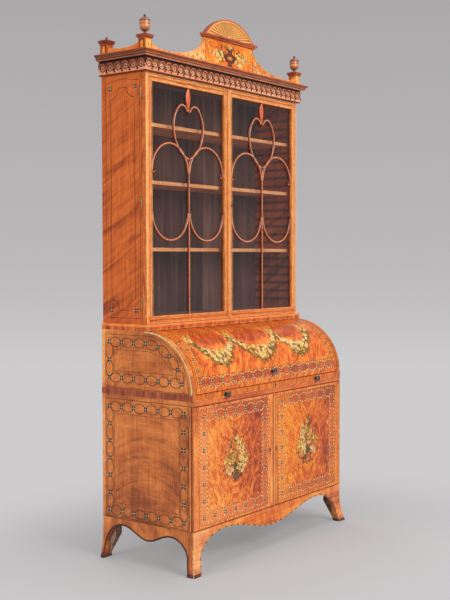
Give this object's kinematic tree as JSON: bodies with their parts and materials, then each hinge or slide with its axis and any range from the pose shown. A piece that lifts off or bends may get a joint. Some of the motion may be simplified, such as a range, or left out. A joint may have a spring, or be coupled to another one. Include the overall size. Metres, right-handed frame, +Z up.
{
  "type": "bureau bookcase",
  "caption": "Satinwood bureau bookcase: glazed doors with heart tracery over a cylinder desk with a pull-out writing slide, cupboard doors and splayed bracket feet.",
  "frame": {"origin": "on the floor, in the middle of the bounding box in X and Y", "axes": "+X to the right seen from the front, +Y to the back, +Z up"},
  "size_m": [1.28, 0.543, 2.468],
  "materials": {
    "satinwood": "polished satinwood veneer with crossbanding and string inlay",
    "satinwood_light": "polished pale satinwood veneer",
    "mahogany": "polished mahogany mouldings and glazing bars",
    "crossband": "polished dark crossbanding",
    "carcass": "waxed plain carcass wood",
    "brass": "aged lacquered brass",
    "bronze": "darkened metal knob",
    "glass": "clear old window glass",
    "leather": "green writing leather"
  },
  "bodies": {
    "carcass": {"front_feet": "satinwood", "back_feet": "satinwood", "foot_blocks": "carcass", "apron_front": "satinwood", "apron_sides": "satinwood", "desk_sides": "satinwood", "desk_bottom": "carcass", "desk_back": "carcass", "cupboard_shelf": "carcass", "door_rail": "satinwood_light", "dust_board": "carcass", "slide_runners": "carcass", "waist_bands": "crossband", "desk_top": "satinwood", "nest_case": "carcass", "nest_partitions": "satinwood_light", "nest_valances": "satinwood", "waist_moulding": "mahogany", "bookcase_plinth": "carcass", "bookcase_bottom": "carcass", "bookcase_sides": "satinwood", "bookcase_back": "carcass", "bookcase_shelves": "satinwood_light", "bookcase_top": "carcass", "frieze": "satinwood", "frieze_arcade": "satinwood_light", "cornice": "mahogany", "cornice_board": "carcass", "pediment_tablet": "satinwood_light", "pediment_cap": "mahogany", "pediment_arch": "satinwood_light", "scroll_boards": "satinwood_light", "gallery_boards": "satinwood", "pedestals": "satinwood", "urns": "satinwood", "case_hinges": "brass", "fall_pivots": "brass"},
    "cylinder_fall": {"fall": "satinwood", "fall_arms": "brass", "fall_knob": "bronze"},
    "slide": {"writing_slide": "satinwood_light", "slide_leather": "leather", "slide_knobs": "bronze"},
    "glazed_door_left": {"glazed_frame_left": "satinwood", "glazed_pane_left": "glass", "tracery_left": "mahogany", "glazed_hinges_left": "brass"},
    "glazed_door_right": {"glazed_frame_right": "satinwood", "glazed_pane_right": "glass", "tracery_right": "mahogany", "glazed_hinges_right": "brass"},
    "cupboard_left": {"cupboard_door_left": "satinwood", "cupboard_hinges_left": "brass"},
    "cupboard_right": {"cupboard_door_right": "satinwood", "cupboard_hinges_right": "brass", "cupboard_bead": "brass"},
    "nest_drawer_1": {"drawer_1": "satinwood_light"},
    "nest_drawer_2": {"drawer_2": "satinwood_light"},
    "nest_drawer_3": {"drawer_3": "satinwood_light"},
    "nest_drawer_4": {"drawer_4": "satinwood_light"}
  },
  "joints": [
    {"name": "fall_hinge", "type": "hinge", "parent": "carcass", "child": "cylinder_fall", "pos_m": [0, 0.0115, 0.77], "axis": [-1, 0, 0], "range_deg": [0, 68]},
    {"name": "slide_pull", "type": "slide", "parent": "carcass", "child": "slide", "axis": [0, -1, 0], "range_m": [0, 0.25]},
    {"name": "glazed_left_hinge", "type": "hinge", "parent": "carcass", "child": "glazed_door_left", "pos_m": [-0.5955, 0.0365, 1.6], "axis": [0, 0, -1], "range_deg": [0, 120]},
    {"name": "glazed_right_hinge", "type": "hinge", "parent": "carcass", "child": "glazed_door_right", "pos_m": [0.5955, 0.0365, 1.6], "axis": [0, 0, 1], "range_deg": [0, 120]},
    {"name": "cupboard_left_hinge", "type": "hinge", "parent": "carcass", "child": "cupboard_left", "pos_m": [-0.604, -0.2285, 0.45], "axis": [0, 0, -1], "range_deg": [0, 120]},
    {"name": "cupboard_right_hinge", "type": "hinge", "parent": "carcass", "child": "cupboard_right", "pos_m": [0.604, -0.2285, 0.45], "axis": [0, 0, 1], "range_deg": [0, 120]},
    {"name": "drawer_1_pull", "type": "slide", "parent": "carcass", "child": "nest_drawer_1", "axis": [0, -1, 0], "range_m": [0, 0.12]},
    {"name": "drawer_2_pull", "type": "slide", "parent": "carcass", "child": "nest_drawer_2", "axis": [0, -1, 0], "range_m": [0, 0.12]},
    {"name": "drawer_3_pull", "type": "slide", "parent": "carcass", "child": "nest_drawer_3", "axis": [0, -1, 0], "range_m": [0, 0.12]},
    {"name": "drawer_4_pull", "type": "slide", "parent": "carcass", "child": "nest_drawer_4", "axis": [0, -1, 0], "range_m": [0, 0.12]}
  ]
}
